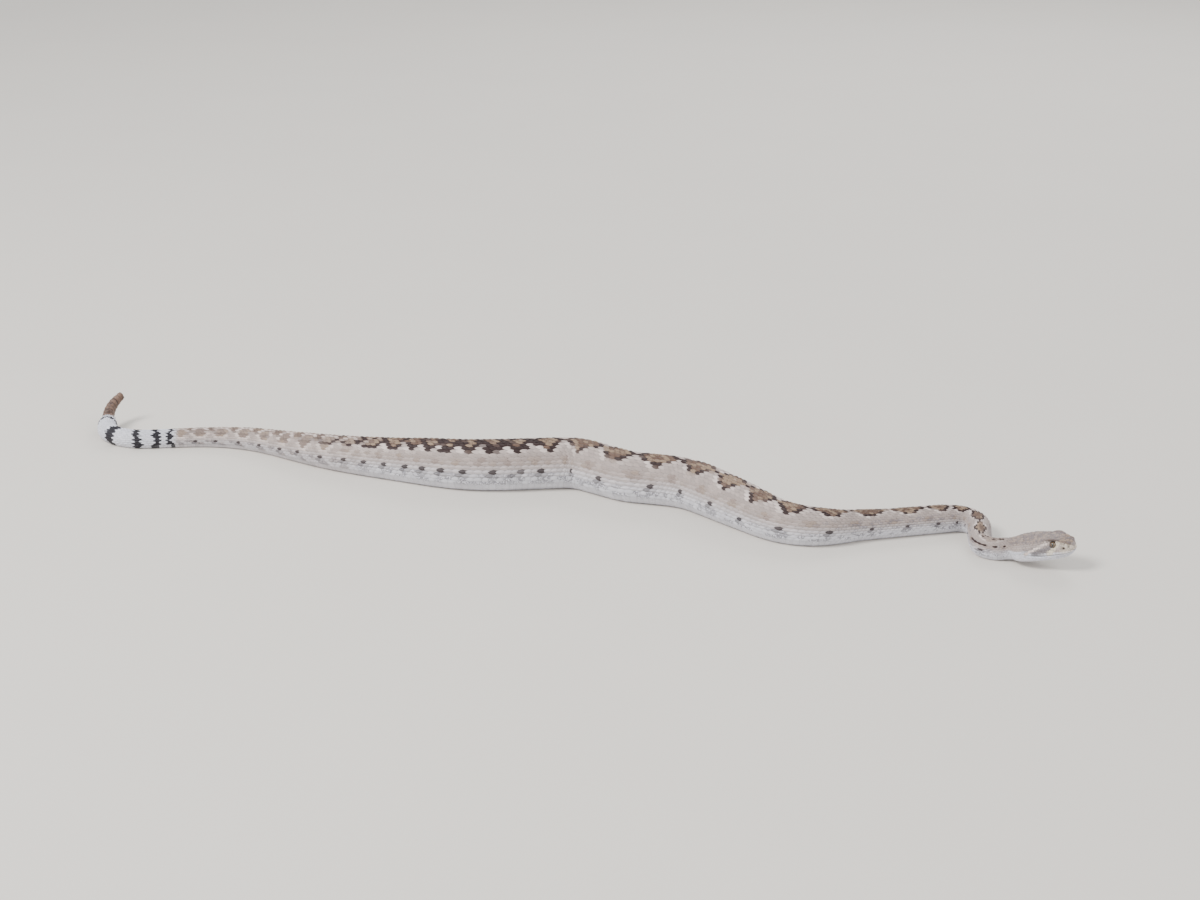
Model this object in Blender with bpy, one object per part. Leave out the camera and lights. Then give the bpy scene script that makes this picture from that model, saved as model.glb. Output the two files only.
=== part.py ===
"""A western diamondback rattlesnake at life size, crawling with its neck drawn into a tight S.

The origin is on the floor under the middle of the whole snake, +X runs towards the head and +Z is
up. Places along the body are distances from the tip of the snout, in metres.
"""
import math

import bmesh
import bpy
import numpy as np

MM = 0.001

# Where the snout is on the floor plan, how the head points there, and how long the animal is
SNOUT = (0.3207, -0.1365)
HEAD_TURN = 30                          # degrees towards the viewer from +X
SNOUT_TO_RATTLE = 0.759
RATTLE_LENGTH = 0.028
JOIN_GAP = 0.3 * MM

# The lengths that the body is named by, each from its front end to the next one's
LENGTHS = {
    "head": 0.0, "neck": 0.042, "forebody": 0.124, "midbody_front": 0.260,
    "midbody_rear": 0.380, "hindbody": 0.500, "tail": 0.700, "rattle": SNOUT_TO_RATTLE,
}

# Turns of the crawling body on the floor plan: from, to, degrees (away from the viewer is positive)
BENDS = [
    (0.037, 0.052, -30), (0.046, 0.068, 97), (0.084, 0.115, -110), (0.168, 0.184, -8),
    (0.178, 0.244, 70), (0.286, 0.326, -35), (0.335, 0.355, 24), (0.373, 0.401, -44),
    (0.423, 0.490, 27), (0.519, 0.597, 12), (0.599, 0.689, -39), (0.699, 0.739, 52),
    (0.732, 0.752, 38), (0.757, 0.784, 40),
]
# The head and the end of the tail lift off the floor: from, to, slope in degrees at the far end
HEAD_LIFT = (0.056, 0.038, 13)
TAIL_LIFT = (0.736, 0.766, 24)
COURSE_STEP = 0.0005

# Girth of the body: place, width in mm, height in mm
GIRTH = [
    (0.042, 13.6, 12.6), (0.066, 14.4, 13.0), (0.082, 15.2, 13.8), (0.100, 16.4, 14.8),
    (0.120, 18.4, 16.6), (0.150, 18.8, 17.0), (0.175, 20.5, 18.4), (0.200, 24.8, 22.2),
    (0.225, 27.8, 24.6), (0.260, 31.8, 28.0), (0.300, 33.8, 29.8), (0.350, 34.6, 30.6),
    (0.440, 35.6, 31.4), (0.480, 33.6, 29.8), (0.510, 29.8, 26.6), (0.574, 23.0, 20.6),
    (0.618, 17.6, 15.8), (0.670, 13.8, 12.6), (0.700, 13.0, 12.2), (0.730, 13.2, 12.2),
    (0.748, 13.6, 12.4), (0.759, 13.4, 12.4),
]
BELLY_SINK = 0.08                       # share of the round section that the floor flattens
BELLY_EDGE = math.acos(2 * BELLY_SINK - 1)
BACK_SPANS = 9                          # spans from the spine to the edge of the belly
PLATE_PITCH = 8.0 * MM                  # belly plates, one for each two of the real ones
PLATE_RISE = 0.45 * MM
PLATE_TOP = math.radians(112)           # where a plate starts on the flank

# Lines that run along the right side of the head: mm from the snout, half width, height
HEAD_LINES = {
    "crown": [(0, 0, 8.6), (0.4, 0, 9.9), (1.4, 0, 10.9), (4, 0, 11.7), (7, 0, 12.4), (11, 0, 13.2),
              (17, 0, 13.8), (24, 0, 14.5), (30, 0, 14.7), (36, 0, 13.6), (42, 0, 12.6)],
    "brow": [(0, 2.0, 8.2), (0.4, 3.1, 9.4), (1.4, 4.5, 10.5), (4, 5.8, 11.5), (6.5, 6.6, 12.5),
             (8.5, 7.4, 13.5), (11.5, 7.9, 14.0), (14.5, 7.9, 13.8), (19, 8.6, 13.4), (26, 9.8, 13.1),
             (31, 9.4, 12.5), (42, 5.2, 11.0)],
    "temple": [(0, 2.3, 7.1), (0.4, 3.6, 7.7), (1.4, 5.2, 8.3), (4, 6.5, 9.0), (6.5, 6.9, 9.9),
               (8.5, 7.0, 10.8), (11.5, 7.3, 11.3), (14.5, 8.2, 11.2), (21, 10.6, 10.7),
               (28, 11.9, 10.2), (33, 10.9, 9.8), (42, 6.3, 8.7)],
    "cheek": [(0, 2.4, 6.0), (0.4, 3.8, 6.3), (1.4, 5.6, 6.6), (4, 7.0, 6.8), (8, 7.7, 7.1),
              (12.5, 8.6, 7.5), (18, 10.5, 7.7), (24, 12.2, 7.7), (29, 12.8, 7.4), (34, 11.4, 6.9),
              (42, 6.8, 6.2)],
    "lip": [(0, 2.1, 4.8), (0.4, 3.4, 4.6), (1.4, 5.2, 4.4), (4, 6.9, 4.2), (8, 8.0, 4.1),
            (12.5, 9.0, 4.0), (18, 10.4, 4.1), (23, 11.7, 4.8), (27, 12.4, 5.6), (32, 11.8, 5.5),
            (42, 6.6, 4.4)],
    "jaw": [(0, 1.7, 4.0), (0.4, 2.8, 3.6), (1.4, 4.3, 3.1), (4, 6.0, 2.6), (8, 7.2, 2.1),
            (12.5, 8.4, 1.8), (20, 10.4, 1.8), (27, 11.6, 2.1), (33, 10.6, 2.2), (42, 5.6, 1.8)],
    "throat": [(0, 1.0, 3.7), (1.4, 2.9, 2.3), (4, 4.4, 1.2), (8, 5.3, 0.5), (12.5, 6.2, 0.1),
               (20, 7.8, 0.0), (30, 8.2, 0.0), (42, 3.6, 0.0)],
    "chin": [(0, 0, 3.6), (1.4, 0, 2.1), (4, 0, 1.0), (8, 0, 0.3), (12.5, 0, 0.0), (42, 0, 0.0)],
}
HEAD_RINGS = [0, 0.4, 1.0, 1.8, 3.0, 4.5, 6.2, 8.0, 9.8, 11.6, 13.4, 15.5, 18, 21, 24, 27, 30, 33,
              35.5, 38, 40]             # mm from the snout, before the ring that meets the neck
CROWN_FLAT = 0.6                        # where the flat of the crown ends, as a share of the brow
MOUTH_CORNER = 26 * MM
MOUTH_FADE = 2.5 * MM
MOUTH_DEPTH = 0.9                       # mm
LIP_STEP = (0.35, 0.4)                  # mm that the lower lip sits inside and below the upper one
JAW_SETBACK = 0.8                       # mm that the lower jaw ends behind the snout
JAW_SETBACK_ENDS = 6 * MM
NECK_BLEND = (34 * MM, 42 * MM)         # over which the head takes the neck's section

# Places on the head, in mm from the snout, half width and height
EYE_PLACE = (10.9, 6.3, 9.8)
EYE_RADIUS = 2.0
PIT_PLACE = (5.8, 7.8, 6.8)
PIT_SIZE = (0.9, 1.5, 0.7)
NOSTRIL_PLACE = (2.2, 6.1, 7.8)
NOSTRIL_SIZE = (0.55, 1.0, 0.7)

# The rattle: its segments shrink from the basal one to the button
SEGMENTS = 7
RATTLE_BASE = (9.4, 12.0)               # mm, width and height
RATTLE_TIP = (5.0, 6.6)
SEGMENT_PROFILE = [(0.0, 0.80), (0.14, 0.97), (0.42, 1.0), (0.72, 0.90), (0.90, 0.74)]
RATTLE_SIDES = 16
SIDE_GROOVE = 0.14                      # depth of the groove along each side, share of the radius

COLOURS = {
    "head": (0.42, 0.37, 0.31), "neck": (0.47, 0.41, 0.36), "forebody": (0.50, 0.44, 0.39),
    "midbody_front": (0.47, 0.40, 0.35), "midbody_rear": (0.48, 0.42, 0.37),
    "hindbody": (0.46, 0.40, 0.34), "tail": (0.62, 0.61, 0.60), "rattle": (0.25, 0.17, 0.11),
    "eye": (0.20, 0.16, 0.09),
}


def smooth(t):
    """A ramp from 0 to 1 with no kink at its ends."""
    t = np.clip(t, 0.0, 1.0)
    return t * t * (3 - 2 * t)


def through(points, places):
    """Values at places on a smooth line through (place, value) points that never overshoots them."""
    x, y = np.array(points, float).T
    rise = np.diff(y) / np.diff(x)
    slope = np.zeros(len(x))
    slope[0], slope[-1] = rise[0], rise[-1]
    same = rise[:-1] * rise[1:] > 0
    slope[1:-1][same] = (2 * rise[:-1] * rise[1:] / np.where(same, rise[:-1] + rise[1:], 1))[same]
    places = np.asarray(places, float)
    k = np.clip(np.searchsorted(x, places, side="right") - 1, 0, len(x) - 2)
    width = x[k + 1] - x[k]
    t = np.clip((places - x[k]) / width, 0, 1)
    return (y[k] * (1 + 2 * t) * (1 - t) ** 2 + y[k + 1] * t * t * (3 - 2 * t)
            + slope[k] * width * t * (1 - t) ** 2 - slope[k + 1] * width * t * t * (1 - t))


def make_course():
    """Belly line of the snake, and its direction towards the tail, at every COURSE_STEP."""
    places = np.arange(0.0, SNOUT_TO_RATTLE + RATTLE_LENGTH + 0.01, COURSE_STEP)
    heading = np.radians(HEAD_TURN + sum(turn * smooth((places - start) / (end - start))
                                         for start, end, turn in BENDS))
    slope = np.zeros(len(places))
    for (start, end, degrees), sign in ((HEAD_LIFT, -1), (TAIL_LIFT, 1)):
        slope += sign * np.radians(degrees) * smooth((places - start) / (end - start))
    along = np.stack([-np.cos(heading) * np.cos(slope), np.sin(heading) * np.cos(slope),
                      np.sin(slope)], axis=1)
    steps = (along[1:] + along[:-1]) / 2 * COURSE_STEP
    line = np.vstack([[*SNOUT, 0.0], np.cumsum(steps, axis=0) + [*SNOUT, 0.0]])
    line[:, 2] -= line[np.searchsorted(places, LENGTHS["midbody_rear"]), 2]
    return places, line, along


COURSE = make_course()


def course_frame(s):
    """The belly point at s, with the directions to the tail, to the snake's right and up."""
    places, line, along = COURSE
    point = np.array([np.interp(s, places, line[:, axis]) for axis in range(3)])
    tail = np.array([np.interp(s, places, along[:, axis]) for axis in range(3)])
    tail /= np.linalg.norm(tail)
    right = np.cross(tail, [0.0, 0.0, 1.0])
    right = -right / np.linalg.norm(right)
    return point, tail, right, np.cross(tail, right)


def on_body(s, right, up):
    """World position of a point given by its place along the body and its offsets in metres."""
    point, _, right_way, up_way = course_frame(s)
    return point + right * right_way + up * up_way


def girth(s):
    """Half width and height of the body at s, in metres."""
    width = through([(place, w) for place, w, _ in GIRTH], s)
    height = through([(place, h) for place, _, h in GIRTH], s)
    return width / 2 * MM, height * MM


def body_section(s, turn):
    """Offsets at the angle turn from the spine, on a round section that the floor flattens."""
    half_width, height = girth(s)
    radius = height / (1 - BELLY_SINK) / 2
    return half_width * math.sin(turn), max(0.0, height - radius + radius * math.cos(turn))


def mirrored_ring(half, place):
    """A closed ring from the right half of a section, given from its top round to its bottom.

    place(k) is where point k of the half stands along the body.
    """
    right = [on_body(place(k), y, z) for k, (y, z) in enumerate(half)]
    left = [on_body(place(k), -y, z) for k, (y, z) in enumerate(half)]
    return right + left[-2:0:-1]


def material(name, colour, roughness):
    made = bpy.data.materials.new(name)
    made.use_nodes = True
    shader = made.node_tree.nodes["Principled BSDF"]
    shader.inputs["Base Color"].default_value = (*colour, 1.0)
    shader.inputs["Roughness"].default_value = roughness
    shader.inputs["Metallic"].default_value = 0.0
    return made


def add_object(name, bm, collection, finish, smooth_angle=40):
    mesh = bpy.data.meshes.new(name)
    bm.to_mesh(mesh)
    bm.free()
    mesh.shade_smooth()
    mesh.set_sharp_from_angle(angle=math.radians(smooth_angle))
    made = bpy.data.objects.new(name, mesh)
    collection.objects.link(made)
    if finish:
        mesh.materials.append(finish)
    return made


def loft(rings, strip_front=False):
    """A closed body through the rings. The front is one face, or level strips from side to side."""
    bm = bmesh.new()
    rows = [[bm.verts.new(point) for point in ring] for ring in rings]
    count = len(rows[0])
    for front, back in zip(rows, rows[1:]):
        for k in range(count):
            bm.faces.new((front[k], front[(k + 1) % count], back[(k + 1) % count], back[k]))
    bm.faces.new(rows[-1])
    if strip_front:
        first = rows[0]
        for k in range(count // 2):
            corners = (first[k], first[-k], first[-k - 1], first[k + 1])
            bm.faces.new(list(dict.fromkeys(corners)))
    else:
        bm.faces.new(rows[0])
    bmesh.ops.recalc_face_normals(bm, faces=bm.faces)
    return bm


def plate_rise(s, turn, edge):
    """How far a belly plate stands out at s; edge is True on the proud rear edge of a plate."""
    if turn < PLATE_TOP:
        return 0.0
    share = 1.0 if edge else (s / PLATE_PITCH) % 1.0
    return PLATE_RISE * share * girth(s)[0] / girth(0.4)[0]


def body_ring(s, edge=False):
    turns = [BELLY_EDGE * k / BACK_SPANS for k in range(BACK_SPANS + 1)]
    half = []
    for turn in turns:
        y, z = body_section(s, turn)
        half.append((y + plate_rise(s, turn, edge), z))
    return mirrored_ring(half + [(0.0, 0.0)], lambda k: s)


def body_length(name, collection):
    """One length of the body, with the rear edge of each belly plate standing proud."""
    names = list(LENGTHS)
    start = LENGTHS[name] + JOIN_GAP / 2
    end = LENGTHS[names[names.index(name) + 1]] - JOIN_GAP / 2
    rings = [body_ring(start)]
    first_plate = math.ceil(start / PLATE_PITCH + 0.1)
    last_plate = math.floor(end / PLATE_PITCH - 0.1)
    for plate in range(first_plate, last_plate + 1):
        s = plate * PLATE_PITCH
        rings += [body_ring(s - PLATE_PITCH * 0.06, edge=True), body_ring(s)]
    rings.append(body_ring(end))
    return add_object(name, loft(rings), collection, material(name, COLOURS[name], 0.55))


def head_line(name, s):
    """Half width and height of one of the head's lines, in mm."""
    points = HEAD_LINES[name]
    width = through([(place, y) for place, y, _ in points], s / MM)
    height = through([(place, z) for place, _, z in points], s / MM)
    return np.array([width, height])


def spline(points, before, after):
    """Two points for each span of a Catmull-Rom curve through points, and its last point."""
    knots = [before, *points, after]
    made = []
    for a, b, c, d in zip(knots, knots[1:], knots[2:], knots[3:]):
        made += [b, (9 * (b + c) - a - d) / 16]
    return made + [points[-1]]


def head_half(s):
    """The right half of the head's section at s: crown, brow, cheek, lips, jaw and chin, in mm."""
    mirror = np.array([-1, 1])
    lines = {name: head_line(name, s) for name in HEAD_LINES}
    flat = lines["crown"] + (lines["brow"] - lines["crown"]) * np.array([CROWN_FLAT, 0.45])
    lip = lines["lip"]
    lower_lip = lip - np.array(LIP_STEP)
    upper = [lines["crown"], flat, lines["brow"], lines["temple"], lines["cheek"], lip]
    lower = [lower_lip, lines["jaw"], lines["throat"], lines["chin"]]
    shut = smooth((s - MOUTH_CORNER + MOUTH_FADE) / MOUTH_FADE)
    crease = (lip + lower_lip) / 2 - np.array([MOUTH_DEPTH * (1 - shut), 0])
    return (spline(upper, flat * mirror, 2 * lip - lines["cheek"]) + [crease]
            + spline(lower, 2 * lower_lip - lines["jaw"], lines["throat"] * mirror))


def head_ring(s):
    half = head_half(s)
    blend = smooth((s - NECK_BLEND[0]) / (NECK_BLEND[1] - NECK_BLEND[0]))
    upper_count = len(half) - 8
    shape = []
    for k, point in enumerate(half):
        turn = BELLY_EDGE * min(1.0, k / (len(half) - 3))
        neck = np.array(body_section(max(s, GIRTH[0][0]), turn)) if k < len(half) - 1 else np.zeros(2)
        shape.append((1 - blend) * point * MM + blend * neck)
    setback = JAW_SETBACK * MM * (1 - smooth(s / JAW_SETBACK_ENDS))
    return mirrored_ring(shape, lambda k: s + (setback if k > upper_count else 0.0))


def cutter(name, place, size, side, collection):
    """An egg-shaped cutter on one side of the head; size is along, across and up, in mm."""
    along, across, up = (value * MM for value in place)
    point, tail, right, top = course_frame(along)
    bm = bmesh.new()
    bmesh.ops.create_uvsphere(bm, u_segments=16, v_segments=10, radius=1.0)
    centre = point + side * across * right + up * top
    for vert in bm.verts:
        x, y, z = (vert.co[axis] * size[axis] * MM for axis in range(3))
        vert.co = centre + x * tail + y * right + z * top
    made = add_object(name, bm, collection, None)
    made.hide_render = True
    made.display_type = "WIRE"
    return made


def add_head(collection, cutters):
    rings = [head_ring(place * MM) for place in HEAD_RINGS]
    rings.append(head_ring(LENGTHS["neck"] - JOIN_GAP / 2))
    head = add_object("head", loft(rings, strip_front=True), collection,
                      material("head", COLOURS["head"], 0.5))
    socket = [EYE_RADIUS + JOIN_GAP / MM] * 3
    for side, label in ((1, "right"), (-1, "left")):
        cutter("socket_" + label, EYE_PLACE, socket, side, cutters)
        cutter("pit_" + label, PIT_PLACE, PIT_SIZE, side, cutters)
        cutter("nostril_" + label, NOSTRIL_PLACE, NOSTRIL_SIZE, side, cutters)
    cut = head.modifiers.new("sockets, pits and nostrils", "BOOLEAN")
    cut.operation = "DIFFERENCE"
    cut.operand_type = "COLLECTION"
    cut.collection = cutters
    cut.solver = "EXACT"
    return head


def add_eye(label, side, collection):
    point, _, right, top = course_frame(EYE_PLACE[0] * MM)
    centre = point + side * EYE_PLACE[1] * MM * right + EYE_PLACE[2] * MM * top
    bm = bmesh.new()
    bmesh.ops.create_uvsphere(bm, u_segments=16, v_segments=10, radius=EYE_RADIUS * MM)
    eye = add_object("eye_" + label, bm, collection, material("eye_" + label, COLOURS["eye"], 0.12))
    eye.location = centre
    return eye


def add_rattle(collection):
    """Dry horny segments, each a lobed ring with a waist behind it, and a groove along each side."""
    start = SNOUT_TO_RATTLE + JOIN_GAP / 2
    pitch = (RATTLE_LENGTH - JOIN_GAP) / SEGMENTS
    axis_height = girth(SNOUT_TO_RATTLE)[1] / 2
    rings = []
    for segment in range(SEGMENTS):
        share = segment / (SEGMENTS - 1)
        width, height = ((1 - share) * a + share * b for a, b in zip(RATTLE_BASE, RATTLE_TIP))
        for place, size in SEGMENT_PROFILE:
            s = start + (segment + place) * pitch
            ring = []
            for k in range(RATTLE_SIDES):
                turn = 2 * math.pi * k / RATTLE_SIDES
                groove = 1 - SIDE_GROOVE * max(0.0, abs(math.sin(turn)) ** 12)
                y = width / 2 * MM * size * groove * math.sin(turn)
                z = axis_height + height / 2 * MM * size * math.cos(turn)
                ring.append(on_body(s, y, z))
            rings.append(ring)
    return add_object("rattle", loft(rings), collection, material("rattle", COLOURS["rattle"], 0.45))


def main():
    for old in list(bpy.data.objects):
        bpy.data.objects.remove(old, do_unlink=True)
    snake = bpy.data.collections.new("western diamondback rattlesnake")
    cutters = bpy.data.collections.new("cutters")
    bpy.context.scene.collection.children.link(snake)
    bpy.context.scene.collection.children.link(cutters)
    add_head(snake, cutters)
    add_eye("right", 1, snake)
    add_eye("left", -1, snake)
    for name in list(LENGTHS)[1:-1]:
        body_length(name, snake)
    add_rattle(snake)


main()
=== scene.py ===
# A western diamondback rattlesnake at life size, crawling with its neck drawn into a tight S.
# Places along the body are metres from the tip of the snout. Turns round the body are degrees
# from the spine, and positive on the snake's right, which is the side that the camera sees.
import math

import bpy
import numpy as np
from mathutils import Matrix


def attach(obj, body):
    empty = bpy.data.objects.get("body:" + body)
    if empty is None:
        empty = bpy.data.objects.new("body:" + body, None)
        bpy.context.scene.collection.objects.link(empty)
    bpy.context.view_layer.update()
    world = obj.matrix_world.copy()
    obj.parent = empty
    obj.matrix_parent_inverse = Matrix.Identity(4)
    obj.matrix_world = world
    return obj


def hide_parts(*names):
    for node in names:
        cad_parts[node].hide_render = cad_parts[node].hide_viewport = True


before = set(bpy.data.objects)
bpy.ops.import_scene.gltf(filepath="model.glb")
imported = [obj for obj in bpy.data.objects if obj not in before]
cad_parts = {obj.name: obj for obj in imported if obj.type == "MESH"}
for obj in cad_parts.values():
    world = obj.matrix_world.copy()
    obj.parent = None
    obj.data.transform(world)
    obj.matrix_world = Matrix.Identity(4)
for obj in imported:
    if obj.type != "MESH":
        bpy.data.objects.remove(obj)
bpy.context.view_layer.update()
mm = 0.001
rng = np.random.default_rng(11)

# The course and the girth.
course = {
    "snout": (0.3207, -0.1365), "headTurn": 30, "length": 0.759, "rattle": 0.028, "step": 0.0005,
    # turns on the floor plan: from, to, degrees
    "bends": [(0.037, 0.052, -30), (0.046, 0.068, 97), (0.084, 0.115, -110), (0.168, 0.184, -8),
              (0.178, 0.244, 70), (0.286, 0.326, -35), (0.335, 0.355, 24), (0.373, 0.401, -44),
              (0.423, 0.490, 27), (0.519, 0.597, 12), (0.599, 0.689, -39), (0.699, 0.739, 52),
              (0.732, 0.752, 38), (0.757, 0.784, 40)],
    "headLift": (0.056, 0.038, 13), "tailLift": (0.736, 0.766, 24), "levelAt": 0.380,
}
body = {
    # place, width in mm, height in mm
    "girth": [(0.042, 13.6, 12.6), (0.066, 14.4, 13.0), (0.082, 15.2, 13.8), (0.100, 16.4, 14.8),
              (0.120, 18.4, 16.6), (0.150, 18.8, 17.0), (0.175, 20.5, 18.4), (0.200, 24.8, 22.2),
              (0.225, 27.8, 24.6), (0.260, 31.8, 28.0), (0.300, 33.8, 29.8), (0.350, 34.6, 30.6),
              (0.440, 35.6, 31.4), (0.480, 33.6, 29.8), (0.510, 29.8, 26.6), (0.574, 23.0, 20.6),
              (0.618, 17.6, 15.8), (0.670, 13.8, 12.6), (0.700, 13.0, 12.2), (0.730, 13.2, 12.2),
              (0.748, 13.6, 12.4), (0.759, 13.4, 12.4)],
    "bellySink": 0.08,                  # share of the round section that the floor flattens
    "coatDepth": 0.35 * mm,             # how far the skin lies inside the outline
    "endTaper": 0.20,                   # share by which the tail's end closes in round the rattle
    "endReach": 6 * mm,
    "vent": 0.700,
}
head = {
    # lines along the right side: mm from the snout, half width, height
    "lines": {
        "crown": (0, [(0, 0, 8.6), (0.4, 0, 9.9), (1.4, 0, 10.9), (4, 0, 11.7), (7, 0, 12.4),
                      (11, 0, 13.2), (17, 0, 13.8), (24, 0, 14.5), (30, 0, 14.7), (36, 0, 13.6),
                      (42, 0, 12.6)]),
        "brow": (40, [(0, 2.0, 8.2), (0.4, 3.1, 9.4), (1.4, 4.5, 10.5), (4, 5.8, 11.5),
                      (6.5, 6.6, 12.5), (8.5, 7.4, 13.5), (11.5, 7.9, 14.0), (14.5, 7.9, 13.8),
                      (19, 8.6, 13.4), (26, 9.8, 13.1), (31, 9.4, 12.5), (42, 5.2, 11.0)]),
        "temple": (62, [(0, 2.3, 7.1), (0.4, 3.6, 7.7), (1.4, 5.2, 8.3), (4, 6.5, 9.0),
                        (6.5, 6.9, 9.9), (8.5, 7.0, 10.8), (11.5, 7.3, 11.3), (14.5, 8.2, 11.2),
                        (21, 10.6, 10.7), (28, 11.9, 10.2), (33, 10.9, 9.8), (42, 6.3, 8.7)]),
        "cheek": (85, [(0, 2.4, 6.0), (0.4, 3.8, 6.3), (1.4, 5.6, 6.6), (4, 7.0, 6.8),
                       (8, 7.7, 7.1), (12.5, 8.6, 7.5), (18, 10.5, 7.7), (24, 12.2, 7.7),
                       (29, 12.8, 7.4), (34, 11.4, 6.9), (42, 6.8, 6.2)]),
        "lip": (108, [(0, 2.1, 4.8), (0.4, 3.4, 4.6), (1.4, 5.2, 4.4), (4, 6.9, 4.2), (8, 8.0, 4.1),
                      (12.5, 9.0, 4.0), (18, 10.4, 4.1), (23, 11.7, 4.8), (27, 12.4, 5.6),
                      (32, 11.8, 5.5), (42, 6.6, 4.4)]),
        "jaw": (132, [(0, 1.7, 4.0), (0.4, 2.8, 3.6), (1.4, 4.3, 3.1), (4, 6.0, 2.6), (8, 7.2, 2.1),
                      (12.5, 8.4, 1.8), (20, 10.4, 1.8), (27, 11.6, 2.1), (33, 10.6, 2.2),
                      (42, 5.6, 1.8)]),
        "throat": (155, [(0, 1.0, 3.7), (1.4, 2.9, 2.3), (4, 4.4, 1.2), (8, 5.3, 0.5),
                         (12.5, 6.2, 0.1), (20, 7.8, 0.0), (30, 8.2, 0.0), (42, 3.6, 0.0)]),
        "chin": (180, [(0, 0, 3.6), (1.4, 0, 2.1), (4, 0, 1.0), (8, 0, 0.3), (12.5, 0, 0.0),
                       (42, 0, 0.0)]),
    },
    "crownFlat": (20, 0.6, 0.45),       # turn, and its share of the brow's width and drop
    "snoutCap": 0.8 * mm,               # how far the rounded front stands out before the first line
    "capMiddle": 6.2 * mm,              # height of the rounded front's middle
    "neckBlend": (34 * mm, 42 * mm),
    # the lower jaw: how far it lies behind the snout and inside the upper lip, and where that fades
    "jawSetback": 0.45 * mm, "setbackReach": 6 * mm, "lipStep": 0.3 * mm, "lipStart": 2 * mm,
    "chinTurn": 178, "chinFade": 25, "cornerFade": 4 * mm,
    "mouthTurn": 110.5, "mouthDepth": 0.7 * mm, "mouthWidth": 1.8, "mouthCorner": 26 * mm,
    "eye": (10.9, 6.3, 9.8), "eyeRadius": 2.0, "socketRim": 0.25, "socketDepth": 0.9 * mm,
    "pit": (4.9, 7.0, 7.2), "pitRadius": 1.0, "pitDepth": 1.0,
    "nostril": (1.7, 5.1, 7.8), "nostrilRadius": 0.55, "nostrilDepth": 0.7,
    # mm round the middle of each that the small scales keep clear of
    "clear": {"eye": 3.1, "pit": 1.45, "nostril": 1.15},
}


def smooth(t):
    t = np.clip(t, 0.0, 1.0)
    return t * t * (3 - 2 * t)


def hermite(first, last, riseFirst, riseLast, t):
    return (first * (1 + 2 * t) * (1 - t) ** 2 + last * t * t * (3 - 2 * t)
            + riseFirst * t * (1 - t) ** 2 - riseLast * t * t * (1 - t))


def through(points, places):
    # a smooth line through (place, value) points that never overshoots them
    x, y = np.array(points, float).T
    rise = np.diff(y) / np.diff(x)
    slope = np.zeros(len(x))
    slope[0], slope[-1] = rise[0], rise[-1]
    product, total = rise[:-1] * rise[1:], rise[:-1] + rise[1:]
    same = product > 0
    slope[1:-1][same] = (2 * product / np.where(same, total, 1))[same]
    places = np.asarray(places, float)
    k = np.clip(np.searchsorted(x, places, side="right") - 1, 0, len(x) - 2)
    width = x[k + 1] - x[k]
    t = np.clip((places - x[k]) / width, 0, 1)
    return hermite(y[k], y[k + 1], slope[k] * width, slope[k + 1] * width, t)


def layCourse():
    places = np.arange(0.0, course["length"] + course["rattle"] + 0.01, course["step"])
    heading = np.radians(course["headTurn"] + sum(turn * smooth((places - start) / (end - start))
                                                  for start, end, turn in course["bends"]))
    slope = np.zeros(len(places))
    for (start, end, degrees), sign in ((course["headLift"], -1), (course["tailLift"], 1)):
        slope += sign * np.radians(degrees) * smooth((places - start) / (end - start))
    along = np.stack([-np.cos(heading) * np.cos(slope), np.sin(heading) * np.cos(slope),
                      np.sin(slope)], axis=1)
    steps = (along[1:] + along[:-1]) / 2 * course["step"]
    start = [*course["snout"], 0.0]
    line = np.vstack([start, np.cumsum(steps, axis=0) + start])
    line[:, 2] -= line[np.searchsorted(places, course["levelAt"]), 2]
    return places, line, along


coursePlaces, courseLine, courseWay = layCourse()


def waysAt(s):
    # belly point, and the ways to the tail, to the snake's right and up
    s = np.asarray(s, float)
    point = np.stack([np.interp(s, coursePlaces, courseLine[:, k]) for k in range(3)], axis=-1)
    tail = np.stack([np.interp(s, coursePlaces, courseWay[:, k]) for k in range(3)], axis=-1)
    tail /= np.linalg.norm(tail, axis=-1, keepdims=True)
    point = point + np.minimum(s, 0.0)[..., None] * tail
    right = -np.cross(tail, [0.0, 0.0, 1.0])
    right /= np.linalg.norm(right, axis=-1, keepdims=True)
    return point, tail, right, np.cross(tail, right)


girthTable = np.array(body["girth"])


def girthAt(s):
    return through(girthTable[:, :2], s) / 2 * mm, through(girthTable[:, ::2], s) * mm


def bodySection(s, turn):
    halfWidth, height = girthAt(s)
    radius = height / (1 - body["bellySink"]) / 2
    angle = np.radians(turn)
    drop = height - radius + radius * np.cos(angle)
    return halfWidth * np.sin(angle), np.where(drop > 0, drop, 0.0)


def headKnots(s):
    # the head's lines at s as turns and points in mm, from the crown round to the chin, with one
    # more past each end, mirrored from the other side
    turns, wide, high = [], [], []
    for turn, points in head["lines"].values():
        table = np.array(points, float)
        turns.append(turn)
        wide.append(through(table[:, :2], s / mm))
        high.append(through(table[:, ::2], s / mm))
    turn, share, drop = head["crownFlat"]
    turns.insert(1, turn)
    wide.insert(1, wide[0] + (wide[1] - wide[0]) * share)
    high.insert(1, high[0] + (high[1] - high[0]) * drop)
    return (np.array([-turns[1], *turns, 360 - turns[-2]], float),
            np.stack([-wide[1], *wide, -wide[-2]], -1), np.stack([high[1], *high, high[-2]], -1))


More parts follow.
